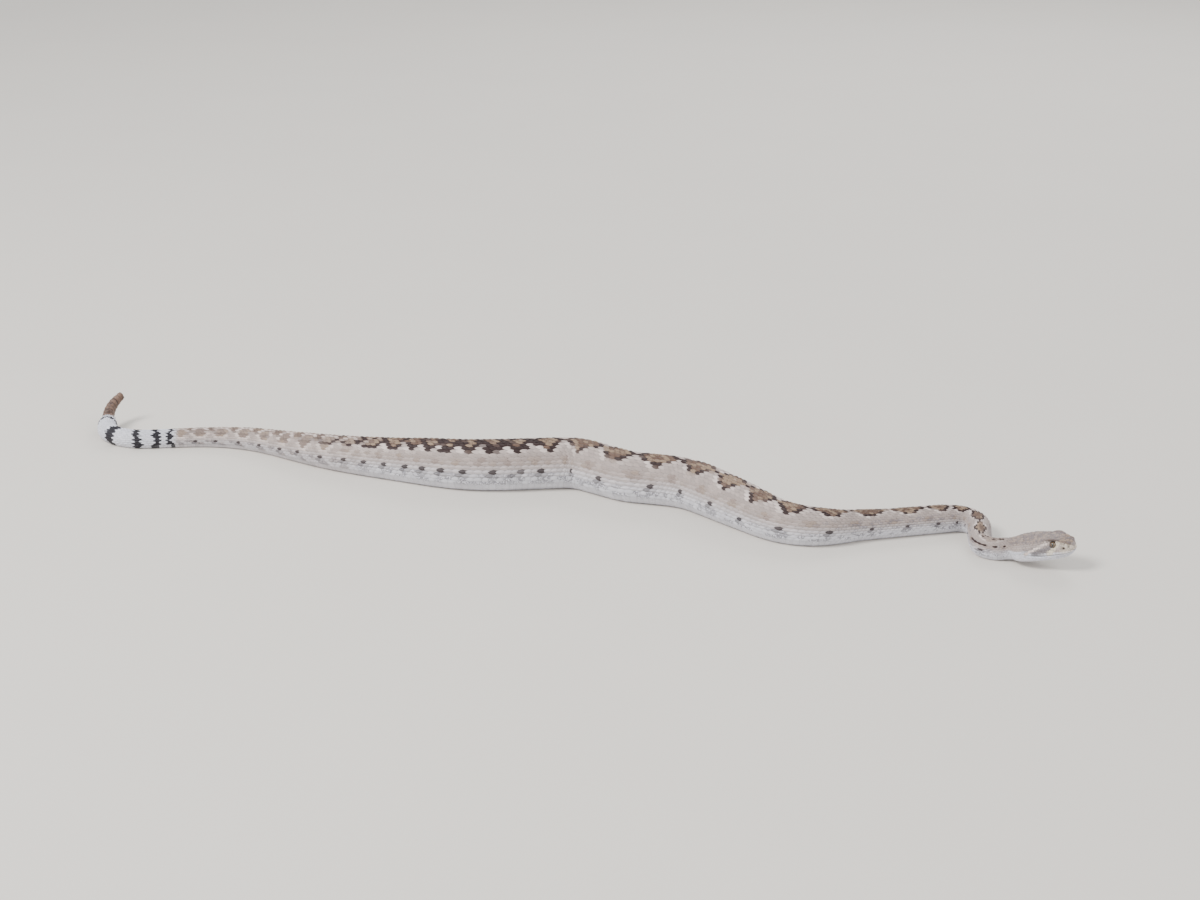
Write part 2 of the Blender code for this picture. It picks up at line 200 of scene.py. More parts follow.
def headSection(s, turn):
    turns, wide, high = headKnots(np.asarray(s, float))
    side, angle = np.sign(turn) + (turn == 0), np.abs(turn)
    k = np.clip(np.searchsorted(turns, angle, side="right") - 1, 1, len(turns) - 3)
    a, b, c, d = (turns[k + step] for step in (-1, 0, 1, 2))
    made = []
    for values in (wide, high):
        before, first, last, after = (
            np.take_along_axis(values, (k + step)[..., None], -1)[..., 0]
            for step in (-1, 0, 1, 2))
        made.append(hermite(first, last, (last - before) / (c - a) * (c - b),
                            (after - first) / (d - b) * (c - b), (angle - b) / (c - b)))
    return side * made[0] * mm, np.maximum(made[1], 0) * mm


def wrapped(turn):
    return (np.asarray(turn, float) + 180) % 360 - 180


def section(s, turn):
    # offsets to the snake's right and up, in metres
    s, turn = np.broadcast_arrays(np.asarray(s, float), wrapped(turn))
    y, z = bodySection(np.maximum(s, body["girth"][0][0]), turn)
    front = s < head["neckBlend"][1]
    if front.any():
        start, end = head["neckBlend"]
        blend = smooth((s[front] - start) / (end - start))
        headY, headZ = headSection(np.maximum(s[front], 0.0), turn[front])
        cap = np.sqrt(np.clip(1 - (np.minimum(s[front], 0) / head["snoutCap"]) ** 2, 0, 1))
        middle = head["capMiddle"]
        headY, headZ = headY * cap, middle + (headZ - middle) * cap
        y, z = y.copy(), z.copy()
        y[front] = (1 - blend) * headY + blend * y[front]
        z[front] = (1 - blend) * headZ + blend * z[front]
    return y, z


def outline(s, turn):
    turn = wrapped(turn)
    angle = np.abs(turn)
    # 1 on the lower jaw, which sits a little inside the upper lip and ends behind the snout
    lower = (smooth((angle - head["mouthTurn"] + 0.7) / 1.4)
             * smooth((head["mouthCorner"] - s) / head["cornerFade"]))
    setback = (head["jawSetback"] * lower * (1 - smooth(s / head["setbackReach"]))
               * smooth((s + head["snoutCap"]) / head["snoutCap"]))
    point, _, right, up = waysAt(s + setback)
    y, z = section(s, turn)
    close = 1 - body["endTaper"] * smooth((s - course["length"]) / body["endReach"] + 1)
    middle = girthAt(course["length"])[1] / 2
    y, z = y * close, middle + (z - middle) * close
    y = y - (np.sign(turn) * head["lipStep"] * lower * smooth(s / head["lipStart"])
             * smooth((head["chinTurn"] - angle) / head["chinFade"]))
    return point + y[..., None] * right + z[..., None] * up


def surface(s, turn, lift):
    # a point that stands lift metres out of the skin
    s, turn, lift = np.broadcast_arrays(np.asarray(s, float), np.asarray(turn, float),
                                        np.asarray(lift, float))
    ds, dt = 0.1 * mm, 0.6
    alongWay = outline(s + ds, turn) - outline(s - ds, turn)
    roundWay = outline(s, turn + dt) - outline(s, turn - dt)
    normal = np.cross(alongWay, roundWay)
    size = np.linalg.norm(normal, axis=-1, keepdims=True)
    atTip = (s < 0.02 * mm - head["snoutCap"])[..., None]
    normal = np.where(atTip, -waysAt(s)[1], normal / np.where(size > 1e-15, size, 1))
    return outline(s, turn) + normal * (lift - body["coatDepth"])[..., None]


def frontFace(b, a, lift):
    # a point on the rounded front of the snout: b metres above its middle, a mm to the right
    around = np.linspace(-179.9, 179.9, 721)
    y, z = section(np.zeros(721), around)
    z = z - head["capMiddle"]
    way, reach = np.arctan2(y, z), np.hypot(y, z)
    angle = np.arctan2(a * mm, b)
    share = np.hypot(a * mm, b) / np.interp(angle, way, reach)
    # inside the front's rim on the rounded cap, outside it on the side of the head
    s = np.where(share < 1, -head["snoutCap"] * np.sqrt(np.clip(1 - share ** 2, 0, 1)),
                 0.7 * mm * (share - 1))
    return surface(s, np.interp(angle, way, around), lift)


def headPoint(place, side):
    along, across, up = (value * mm for value in place)
    point, _, right, top = waysAt(along)
    return point + side * across * right + up * top


eyeWays = waysAt(head["eye"][0] * mm)[1:]


# The rows of scales.
rows = {
    "edge": 118,                        # turn where the belly plates begin
    "spacing": [(0.0, 9.4), (0.54, 9.4), (0.60, 11.2), (0.70, 11.8), (0.72, 13.4), (0.77, 15.0)],
    "tailEdge": 140,
    # distance between the scales of one row, in mm
    "pitch": [(0.0, 1.05), (0.010, 1.15), (0.020, 1.65), (0.030, 1.9), (0.045, 2.3),
              (0.10, 2.75), (0.18, 3.1), (0.25, 3.9), (0.35, 4.25), (0.45, 4.3), (0.52, 3.9),
              (0.60, 3.3), (0.70, 2.9), (0.769, 2.5)],
}

# The markings.
marks = {
    # middles of the blotches along the spine, from the neck to the vent
    "blotches": [0.0530, 0.0725, 0.0900, 0.1050, 0.1185, 0.1395, 0.1655, 0.1915, 0.2155,
                 0.2370, 0.2630, 0.2920, 0.3230, 0.3510, 0.3790, 0.4055, 0.4240, 0.4405, 0.4550,
                 0.4690, 0.4810, 0.4935, 0.5085, 0.5250, 0.5420, 0.5590, 0.5765, 0.5955, 0.6145,
                 0.6330, 0.6505, 0.6665, 0.6805],
    # how far down a blotch reaches in degrees, and its form: 1 is a diamond, 2 an oval
    "reach": [(0.04, 30), (0.10, 34), (0.20, 40), (0.35, 41), (0.45, 40), (0.55, 46), (0.68, 58)],
    "corner": [(0.04, 1.1), (0.30, 1.05), (0.45, 1.2), (0.55, 1.9), (0.68, 2.6)],
    "napeEnd": 0.067, "napeLines": (9.4, 56), "sideBlotch": 62,
    # dark specks on the flank: turn, then rows across, half rows along and depth of each
    "flankSpots": 87,
    "specks": [(0, 0.0, 0.50), (1, 0.5, 0.42), (1, -0.5, 0.36), (2, 0.0, 0.3), (3, 0.5, 0.28)],
    # pale-edged ovals towards the tail: where they begin, half length, turn and half height
    "ovals": (0.505, 5.4 * mm, 34, 38),
    # middles of the black rings, and their widths in mm
    "rings": [(0.6868, 3.0), (0.6967, 4.8), (0.7098, 5.6), (0.7285, 6.6), (0.7525, 3.6)],
    "tailStart": 0.6855,
}


def bump(distance, width, softness=0.35):
    # 1 within width of the middle, falling to 0 outside
    return smooth((width * (1 + softness) - np.abs(distance)) / (2 * softness * width))


def stripe(x, y, start, end, width):
    # 1 on a straight stripe from start to end
    ax, ay = start
    bx, by = end
    run = (bx - ax) ** 2 + (by - ay) ** 2
    t = np.clip(((x - ax) * (bx - ax) + (y - ay) * (by - ay)) / run, 0, 1)
    gap = np.hypot(x - ax - t * (bx - ax), y - ay - t * (by - ay))
    return bump(gap, width)


def bodyMarks(s, turn, tone):
    # tone is one random number from 0 to 1 for each scale, and 0.5 on the skin
    jitter, angle = tone - 0.5, np.abs(turn)
    middles = np.array(marks["blotches"])
    between = (middles[1:] + middles[:-1]) / 2
    bounds = np.concatenate([[2 * middles[0] - between[0]], between,
                             [2 * middles[-1] - between[-1]]])
    k = np.clip(np.searchsorted(bounds, s) - 1, 0, len(middles) - 1)
    # half a blotch on this side of its middle, and x from -1 to 1 along it
    long = np.where(s < middles[k], middles[k] - bounds[k], bounds[k + 1] - middles[k])
    x = (s - middles[k]) / long
    corner, reach = through(marks["corner"], s), through(marks["reach"], s)
    distance = (np.abs(x) ** corner + (angle / reach) ** corner) ** (1 / corner)
    distance = distance + 0.06 * jitter + (np.abs(x) > 1) * 5
    pitch, spacing = through(rows["pitch"], s) * mm, through(rows["spacing"], s)
    # what one scale takes up of the distance
    oneScale = 0.5 * np.maximum((np.abs(x) / distance) ** (corner - 1) * pitch / long,
                                (angle / reach / distance) ** (corner - 1) * spacing / reach)
    onBody = smooth((marks["tailStart"] - s) / (4 * mm))
    rear = smooth((s - 0.49) / 0.09)
    # some edge scales are paler, and the edges are heavier on the neck and before the hind body
    share = np.where(tone < 0.74, 1.0, np.where(tone < 0.90, 0.44, 0.0))
    heavy = 0.92 + 0.6 * smooth((0.125 - s) / 0.02) + 0.55 * bump(s - 0.445, 0.042)
    dark = (bump(distance - 0.90, heavy * oneScale, 0.1) * share * onBody
            * (1 - 0.62 * rear))
    # two broken lines on each side of the nape
    nape = smooth((marks["napeEnd"] - s) / (3 * mm))
    high, low = (bump(angle - line, 4.7, 0.05) for line in marks["napeLines"])
    lines = np.maximum(high, low) * (tone < 0.8) * (np.sin(s / mm + angle / 20) > -0.45)
    dark = np.maximum(dark * (1 - nape), nape * lines * smooth((s - 0.041) / (3 * mm)))
    blotch = smooth((0.94 + oneScale - distance) / 0.08) * onBody * (1 - 0.6 * nape)
    pale = (bump(distance - 0.94 - 1.9 * oneScale, 0.9 * oneScale, 0.2) * onBody
            * smooth((reach + 8 - angle) / 8) * np.where(x > 0, 0.9, 0.4))
    # soft brown patches under the gaps
    under = np.hypot(1 - np.abs(x), (angle - marks["sideBlotch"]) / 34)
    side = np.maximum(smooth((0.46 - under) / 0.3),
                      0.6 * smooth((0.34 - np.hypot(x - 0.1, (angle - 66) / 40)) / 0.3))
    blotch = np.maximum(blotch, 0.46 * side * onBody)
    # clusters of single scales low on the flank, dark in front and grey below
    chance = np.sin((k + 1) * 12.9898 + np.sign(turn)) * 43758.5453 % 1.0
    greySpots = np.zeros_like(s)
    for across, along, depth in marks["specks"]:
        at = marks["flankSpots"] + 9 * (chance - 0.5) + across * spacing
        spot = (bump((x - 0.1 - 0.4 * chance) * long - along * pitch, 0.5 * pitch, 0.08)
                * bump(angle - at, 0.5 * spacing, 0.08) * onBody)
        if across > 1:
            greySpots = np.maximum(greySpots, spot * 3 * depth)
        else:
            dark = np.maximum(dark, depth * spot)
    grey = (tone > 0.66) * smooth((angle - 84) / 14) * smooth((150 - angle) / 15)
    grey = np.maximum(grey, greySpots)
    grey = np.maximum(grey, 0.8 * (tone > 0.62) * bump(angle - 72, 26)
                      * smooth((0.215 - s) / 0.03))
    # towards the tail the blotches turn into pale-edged ovals, with small grey patches under them
    start, halfLong, turnAt, halfHigh = marks["ovals"]
    late = smooth((s - start) / 0.06)
    oval = ((np.abs(x * long) / halfLong) ** 2.2
            + (np.abs(angle - turnAt) / halfHigh) ** 2.2) ** (1 / 2.2)
    inOval = smooth((0.86 - oval + 0.1 * jitter) / 0.10)
    onTop = smooth((36 - angle) / 8) * smooth((oval - 1.02) / 0.12)
    under = np.minimum(np.hypot((1 - np.abs(x)) * long / (3.4 * mm), (angle - 92) / 11),
                       np.hypot(x * long / (3.4 * mm), (angle - 110) / 11))
    under = smooth((1 - under) / 0.3)
    patches = np.maximum(np.maximum(0.62 * inOval, 0.8 * onTop), 0.4 * under)
    blotch = (1 - late) * blotch + late * patches * onBody
    rims = 0.75 * bump(oval - 1.02, 0.17, 0.4) * smooth((80 - angle) / 10)
    pale = (1 - late) * pale + late * rims * onBody
    grey = np.maximum(grey * (1 - 0.5 * late), late * 0.9 * under)
    # black rings on the ash-white tail
    onTail = 1 - onBody
    ring = np.zeros_like(s)
    for middle, width in marks["rings"]:
        shift = 0.8 * mm * np.sin(np.radians(turn * 2) + middle * 900) + 1.6 * mm * jitter
        ring = np.maximum(ring, bump(s - middle + shift, width / 2 * mm, 0.25))
    dark = np.maximum(dark, ring * onTail * (1 - 0.5 * smooth((angle - 130) / 30)))
    flank = np.maximum(smooth((angle - 60) / 54) * (1 - 0.4 * late), onTail)
    blotch = np.maximum(blotch, 0.6 * smooth((s - course["length"] + 2.5 * mm) / (3 * mm)))
    grey = np.maximum(grey * (0.8 - 0.45 * smooth((angle - 112) / 10)) * onBody,
                      0.25 * onTail * (tone > 0.6))
    return {"dark": dark, "blotch": blotch * (1 - 0.4 * dark), "pale": pale * (1 - dark),
            "flank": flank, "grey": grey, "cheek": np.zeros_like(s), "cream": np.zeros_like(s)}


def headMarks(s, turn, tone):
    x, z, angle = s / mm, section(s, turn)[1] / mm, np.abs(turn)
    eyeAt = head["eye"][0]

    def band(start, end, width):
        return stripe(x, z, start, end, width)

    # a pale stripe from behind the eye down to the corner of the mouth, a cream one from before the
    # eye down to the lip, and a dark patch between them
    side = (angle > 50) & (angle < 112)
    cream = band((eyeAt - 3.1, 10.2), (13.6, 4.4), 1.25) * (angle > 48)
    cream = np.maximum(cream, 0.55 * smooth((8 - x) / 3) * smooth((angle - 50) / 8)
                       * (angle < 108))
    pale = np.maximum(band((eyeAt + 2.8, 11.6), (27.5, 5.6), 0.85) * (angle > 48),
                      bump(x + 0.2, 0.9) * (angle < 110) * 0.8)
    cheek = np.maximum(
        band((eyeAt + 1.5, 7.7), (21.5, 5.8), 1.9) * (z > 4.6) * (0.62 + 0.38 * tone),
        0.6 * band((1.5, 7.5), (5.4, 6.9), 1.1) * (0.4 + 0.6 * tone))
    cheek = np.maximum(cheek, 0.35 * band((eyeAt + 5, 9.9), (28, 8.4), 1.0)) * side
    cheek = cheek * (1 - pale) * (1 - 0.6 * cream)
    # white lips, chin and jaw, rising up the cheek behind the mouth
    low = smooth((angle - 94 + 20 * smooth((x - 21) / 7)) / 14)
    # a few dark scales on the crown, and a dark band just above the eye: partly the dark brown of
    # the scales there, partly painted shade under the brow plate
    dark = np.maximum(0.30 * (tone > 0.93) * (angle < 75),
                      0.42 * band((eyeAt - 2.6, 12.3), (eyeAt + 3.6, 12.5), 0.55))
    # the heat pits and the nostrils are darkened as painted shade inside the holes
    for key in ("pit", "nostril"):
        hole = np.hypot(x - head[key][0], z - head[key][2])
        dark = np.maximum(dark, bump(hole, 0.62 * head[key + "Radius"], 0.4) * side)
    # brown over the snout and the brows, grey brown on the crown
    blotch = np.maximum(0.8 * smooth((66 - angle) / 14) * smooth((10.5 - x) / 5),
                        (0.50 + 0.30 * (tone - 0.5)) * smooth((62 - angle) / 25))
    grey = np.maximum(0.35 * (tone > 0.8) * low * smooth((150 - angle) / 15),
                      0.5 * (tone > 0.4) * smooth((64 - angle) / 18))
    return {"dark": dark * (1 - low), "blotch": blotch, "pale": pale, "flank": low, "grey": grey,
            "cheek": cheek, "cream": cream * (1 - 0.4 * low)}


def markings(s, turn, tone):
    s, turn, tone = np.asarray(s, float), wrapped(turn), np.asarray(tone, float)
    share = smooth((s - 36 * mm) / (10 * mm))
    fore, rear = headMarks(s, turn, tone), bodyMarks(s, turn, tone)
    return {name: (1 - share) * fore[name] + share * rear[name] for name in fore}


# Tools for meshes.
def deselect():
    if bpy.context.object and bpy.context.object.mode != "OBJECT":
        bpy.ops.object.mode_set(mode="OBJECT")
    bpy.ops.object.select_all(action="DESELECT")


def vertexPlaces(mesh):
    flat = np.empty(len(mesh.vertices) * 3)
    mesh.vertices.foreach_get("co", flat)
    return flat.reshape(-1, 3)


def setPlaces(mesh, places):
    mesh.vertices.foreach_set("co", np.asarray(places, float).ravel())
    mesh.update()


def setNumbers(mesh, name, values):
    made = mesh.attributes.new(name, "FLOAT", "POINT")
    made.data.foreach_set("value", np.asarray(values, np.float32).ravel())


def fillHoles():
    bpy.ops.mesh.select_mode(type="EDGE")
    bpy.ops.mesh.select_all(action="DESELECT")
    bpy.ops.mesh.select_non_manifold()
    bpy.ops.mesh.edge_face_add()


def faceOutward():
    # turns the faces of the mesh in hand outward, and leaves its edit mode
    bpy.ops.object.mode_set(mode="EDIT")
    bpy.ops.mesh.select_all(action="SELECT")
    bpy.ops.mesh.normals_make_consistent(inside=False)
    bpy.ops.object.mode_set(mode="OBJECT")


def modelScale(name, spec):
    # one scale as by hand: a grid cut to its outline, domed and keeled, with a flat underside
    deselect()
    bpy.ops.mesh.primitive_grid_add(x_subdivisions=spec["cutsAlong"],
                                    y_subdivisions=spec["cutsAcross"], size=2, location=(0, 0, 0))
    made = bpy.context.object
    made.name = name
    flat = vertexPlaces(made.data)
    u, v = (flat[:, 0] + 1) / 2, flat[:, 1]
    v = v - spec.get("keelDraw", 0.0) * np.sin(v * math.pi) / math.pi
    x = through(spec["rowsAlong"], u)
    width = through(spec["outline"], x)
    dome = spec["dome"] * (1 - np.abs(v) ** spec["domePower"])
    ends = smooth((x - spec["covered"]) / spec["rim"]) * smooth((1 - x) / spec["rim"])
    keel = (spec["keel"] * np.exp(-(v / 0.17) ** 2) * smooth((x - spec["covered"] - 0.06) / 0.16)
            * smooth((1 - x) / 0.22))
    lift = spec["rootLift"] + (spec["tipLift"] - spec["rootLift"]) * x
    setPlaces(made.data, np.stack([x, width * v, lift + (dome * ends + keel)], axis=1))
    bpy.ops.object.mode_set(mode="EDIT")
    if spec.get("thickness"):
        # a wide plate has an underside that follows its top
        bpy.ops.mesh.select_all(action="SELECT")
        down = {"value": (0, 0, -spec["thickness"])}
        bpy.ops.mesh.extrude_region_move(TRANSFORM_OT_translate=down)
    else:
        fillHoles()
    faceOutward()
    mesh = made.data
    loops = np.empty(len(mesh.loops), int)
    mesh.loops.foreach_get("vertex_index", loops)
    totals = np.empty(len(mesh.polygons), int)
    mesh.polygons.foreach_get("loop_total", totals)
    points = vertexPlaces(mesh)
    reach = through(spec["outline"], points[:, 0])
    template = {"points": points, "across": np.clip(points[:, 1] / reach, -1, 1), "loops": loops,
                "totals": totals}
    bpy.data.objects.remove(made, do_unlink=True)
    return template


class Coat:
    # scales that are laid one by one and joined into one mesh
    def __init__(self, name, start, end):
        self.name, self.start, self.end = name, start, end
        self.points, self.loops, self.totals, self.numbers, self.maps = [], [], [], [], []
        self.count = 0

    def lay(self, template, s, turn, length, halfTurn, height=1.0, drift=0.0, local=0.15,
            onto=surface, markAt=None):
        # one copy of the template for each root place s: turn of its middle line, length in
        # metres, half its width in degrees, height as a share, drift in degrees by its tip;
        # local is the share of the markings that may change within one scale
        s, turn, length, halfTurn, height, drift = (
            np.broadcast_to(np.asarray(value, float), np.shape(s)).astype(float)
            for value in (s, turn, length, halfTurn, height, drift))
        if not len(s):
            return
        x, y, z = template["points"].T
        along = s[:, None] + x * length[:, None]
        around = turn[:, None] + y * halfTurn[:, None] + x * drift[:, None]
        places = onto(along, around, z * height[:, None] * mm)
        tone = rng.random(len(s))
        tones = np.repeat(tone[:, None], len(x), axis=1)
        middle = s + 0.45 * length
        if markAt:
            middle, around = np.full(len(s), markAt[0]), np.full(around.shape, markAt[1])
            along, turn = np.full(along.shape, markAt[0]), np.full(len(s), markAt[1])
        ownMarks = markings(middle, turn + 0.45 * drift, tone)
        partMarks = markings(along, around, tones)
        numbers = {key: (1 - local) * ownMarks[key][:, None] + local * partMarks[key]
                   for key in ownMarks}
        # a scale is dark as a whole or not at all
        whole = smooth((ownMarks["dark"][:, None] - 0.25) / 0.3)
        numbers["dark"] = np.repeat(whole, len(x), axis=1)
        numbers["tone"] = tones
        numbers["alongScale"] = np.repeat(x[None], len(s), axis=0)
        numbers["acrossScale"] = np.repeat(np.abs(template["across"])[None], len(s), axis=0)
        self.points.append(places.reshape(-1, 3))
        self.numbers.append({key: value.ravel() for key, value in numbers.items()})
        offset = self.count + np.arange(len(s)) * len(x)
        self.loops.append((template["loops"][None] + offset[:, None]).ravel())
        self.totals.append(np.tile(template["totals"], len(s)))
        root = np.stack([0.005 + 0.99 * (s - self.start) / (self.end - self.start),
                         0.5 + turn / 364], axis=1)
        patch = np.stack([(x - 0.5) * 0.003, template["across"] * 0.0015], axis=1)
        spread = (root[:, None, :] + patch[None])[:, template["loops"], :]
        self.maps.append(spread.reshape(-1, 2))
        self.count += len(s) * len(x)

    def finish(self, material):
        mesh = bpy.data.meshes.new(self.name)
        points, loops = np.concatenate(self.points), np.concatenate(self.loops)
        totals = np.concatenate(self.totals)
        mesh.vertices.add(len(points))
        mesh.vertices.foreach_set("co", points.ravel())
        mesh.loops.add(len(loops))
        mesh.loops.foreach_set("vertex_index", loops)
        mesh.polygons.add(len(totals))
        mesh.polygons.foreach_set("loop_start", np.concatenate([[0], np.cumsum(totals)[:-1]]))
        mesh.polygons.foreach_set("loop_total", totals)
        mesh.update(calc_edges=True)
        mesh.validate()
        for key in self.numbers[0]:
            setNumbers(mesh, key, np.concatenate([entry[key] for entry in self.numbers]))
        layer = mesh.uv_layers.new(name="OFBake")
        layer.data.foreach_set("uv", np.concatenate(self.maps).ravel().astype(np.float32))
        mesh.shade_smooth()
        mesh.set_sharp_from_angle(angle=math.radians(60))
        mesh.materials.append(material)
        piece = bpy.data.objects.new(self.name, mesh)
        bpy.context.scene.collection.objects.link(piece)
        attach(piece, "root")
        print(self.name, "has", int((totals - 2).sum()), "triangles")


# Tools for materials.
class Value:
    # a socket that can stand in a sum
    def __init__(self, nodes, socket):
        self.nodes, self.socket = nodes, socket

    def __add__(self, other):
        return self.nodes.sum("ADD", self, other)

    def __sub__(self, other):
        return self.nodes.sum("SUBTRACT", self, other)

    def __rsub__(self, other):
        return self.nodes.sum("SUBTRACT", other, self)

    def __mul__(self, other):
        return self.nodes.sum("MULTIPLY", self, other)

    def above(self, low, high):
        # 0 below low, 1 above high, with soft ends
        return self.nodes.make("ShaderNodeMapRange", {"interpolation_type": "SMOOTHSTEP"},
                               self, low, high, 0.0, 1.0)

    __radd__ = __add__
    __rmul__ = __mul__


class Nodes:
    def __init__(self, name, roughness=0.5):
        self.material = bpy.data.materials.new(name)
        self.material.use_nodes = True
        self.tree = self.material.node_tree
        self.shader = self.tree.nodes["Principled BSDF"]
        self.shader.inputs["Roughness"].default_value = roughness

    def make(self, kind, settings, *inputs, output=0, **named):
        node = self.tree.nodes.new(kind)
        for key, value in settings.items():
            setattr(node, key, value)
        for key, value in [*enumerate(inputs), *named.items()]:
            if isinstance(value, Value):
                self.tree.links.new(value.socket, node.inputs[key])
            else:
                node.inputs[key].default_value = value
        return Value(self, node.outputs[output])

    def sum(self, operation, *values):
        return self.make("ShaderNodeMath", {"operation": operation}, *values)

    def number(self, name):
        return self.make("ShaderNodeAttribute", {"attribute_name": name}, output="Fac")

    def place(self):
        return self.make("ShaderNodeTexCoord", {}, output="Object")

    def noise(self, where, scale, detail=2.0, rough=0.5):
        return self.make("ShaderNodeTexNoise", {}, output="Fac", Vector=where, Scale=scale,
                         Detail=detail, Roughness=rough)

    def mix(self, share, first, second):
        node = self.tree.nodes.new("ShaderNodeMix")
        node.data_type = "RGBA"
        for socket, value in ((node.inputs["Factor"], share), (node.inputs[6], first),
                              (node.inputs[7], second)):
            if isinstance(value, Value):
                self.tree.links.new(value.socket, socket)
            elif isinstance(value, tuple):
                socket.default_value = (*value, 1.0)
            else:
                socket.default_value = value
        return Value(self, node.outputs[2])

    def shade(self, colour, amount):
        # the colour times a grey amount
        return self.make("ShaderNodeVectorMath", {"operation": "SCALE"}, colour, Scale=amount)

    def feed(self, socket, value):
        self.tree.links.new(value.socket, self.shader.inputs[socket])

    def bumps(self, height, strength, distance):
        self.feed("Normal", self.make("ShaderNodeBump", {}, Strength=strength, Distance=distance,
                                      Height=height))


def srgb(red, green, blue):
    return tuple((value / 255 / 12.92 if value <= 10 else ((value / 255 + 0.055) / 1.055) ** 2.4)
                 for value in (red, green, blue))


palette = {
    "back": srgb(174, 160, 154), "flank": srgb(218, 218, 226), "blotch": srgb(102, 80, 68),
    "buff": srgb(156, 132, 110), "pale": srgb(222, 207, 200), "dark": srgb(50, 34, 32),
    "grey": srgb(118, 116, 124), "cheek": srgb(118, 114, 118), "cream": srgb(222, 211, 190),
    "speck": srgb(76, 58, 50), "ring": srgb(36, 34, 40),
}


def scaleMaterial(name, sheen, gap):
    # gap is 1 on the bare skin between the scales, 0 on the scales
    nodes = Nodes(name)
    where = nodes.place()
    tone, dark, blotch, pale, flank, grey, cheek, cream = (
        nodes.number(key)
        for key in ("tone", "dark", "blotch", "pale", "flank", "grey", "cheek", "cream"))
    fine, mottle = nodes.noise(where, 2600, 2.0), nodes.noise(where, 1100, 2.0)
    colour = nodes.mix(flank, palette["back"], palette["flank"])
    # tan and brown scales are mixed in the blotches
    colour = nodes.mix(blotch, colour, nodes.mix((0.6 * tone + 0.4 * mottle).above(0.36, 0.60),
                                                 palette["buff"], palette["blotch"]))
    # fine brown specks, denser in the blotches
    specks = fine.above(0.55, 0.64) * (0.26 + 0.50 * blotch) * (1 - 0.75 * flank)
    for share, key in ((pale, "pale"), (grey * mottle.above(0.40, 0.54), "grey"),
                       (cheek, "cheek"), (cream, "cream"), (specks, "speck")):
        colour = nodes.mix(share, colour, palette[key])
    colour = nodes.mix(dark, colour, nodes.mix(flank, palette["dark"], palette["ring"]))
    cloud = nodes.noise(where, 220, 3.0)
    if gap:
        amount = 0.62 + 0.16 * cloud
        rough = 0.62 + 0.2 * fine
        nodes.bumps(fine, 0.25, 0.0002)
    else:
        tip, rim = nodes.number("alongScale"), nodes.number("acrossScale")
        # each scale is drawn darker towards its side edges and its tip, as painted shade where the
        # domed scale rounds down, and a little lighter along its middle line, as a painted
        # highlight on the keel
        edge = rim.above(0.72, 1.0) * 0.16 + tip.above(0.86, 1.0) * 0.10
        amount = ((0.80 + 0.22 * tone + 0.14 * cloud) * (1 - edge)
                  + (1 - rim.above(0.0, 0.22)) * 0.05)
        rough = 0.46 + 0.16 * fine + 0.10 * cloud
        nodes.bumps(fine, 0.12, 0.0001)
    nodes.feed("Base Color", nodes.shade(colour, amount))
    nodes.feed("Roughness", rough)
    nodes.shader.inputs["Specular IOR Level"].default_value = sheen
    return nodes.material


scaleSkin = scaleMaterial("keeled scales", 0.35, False)
bareSkin = scaleMaterial("skin between the scales", 0.2, True)
print("materials for the coat are ready")


# The skin.
skinSpec = {
    "headStep": 0.42 * mm, "bodyStep": 1.5 * mm, "headEnd": 44 * mm, "around": 144,
    "capRings": 6, "weld": 0.002 * mm,
}


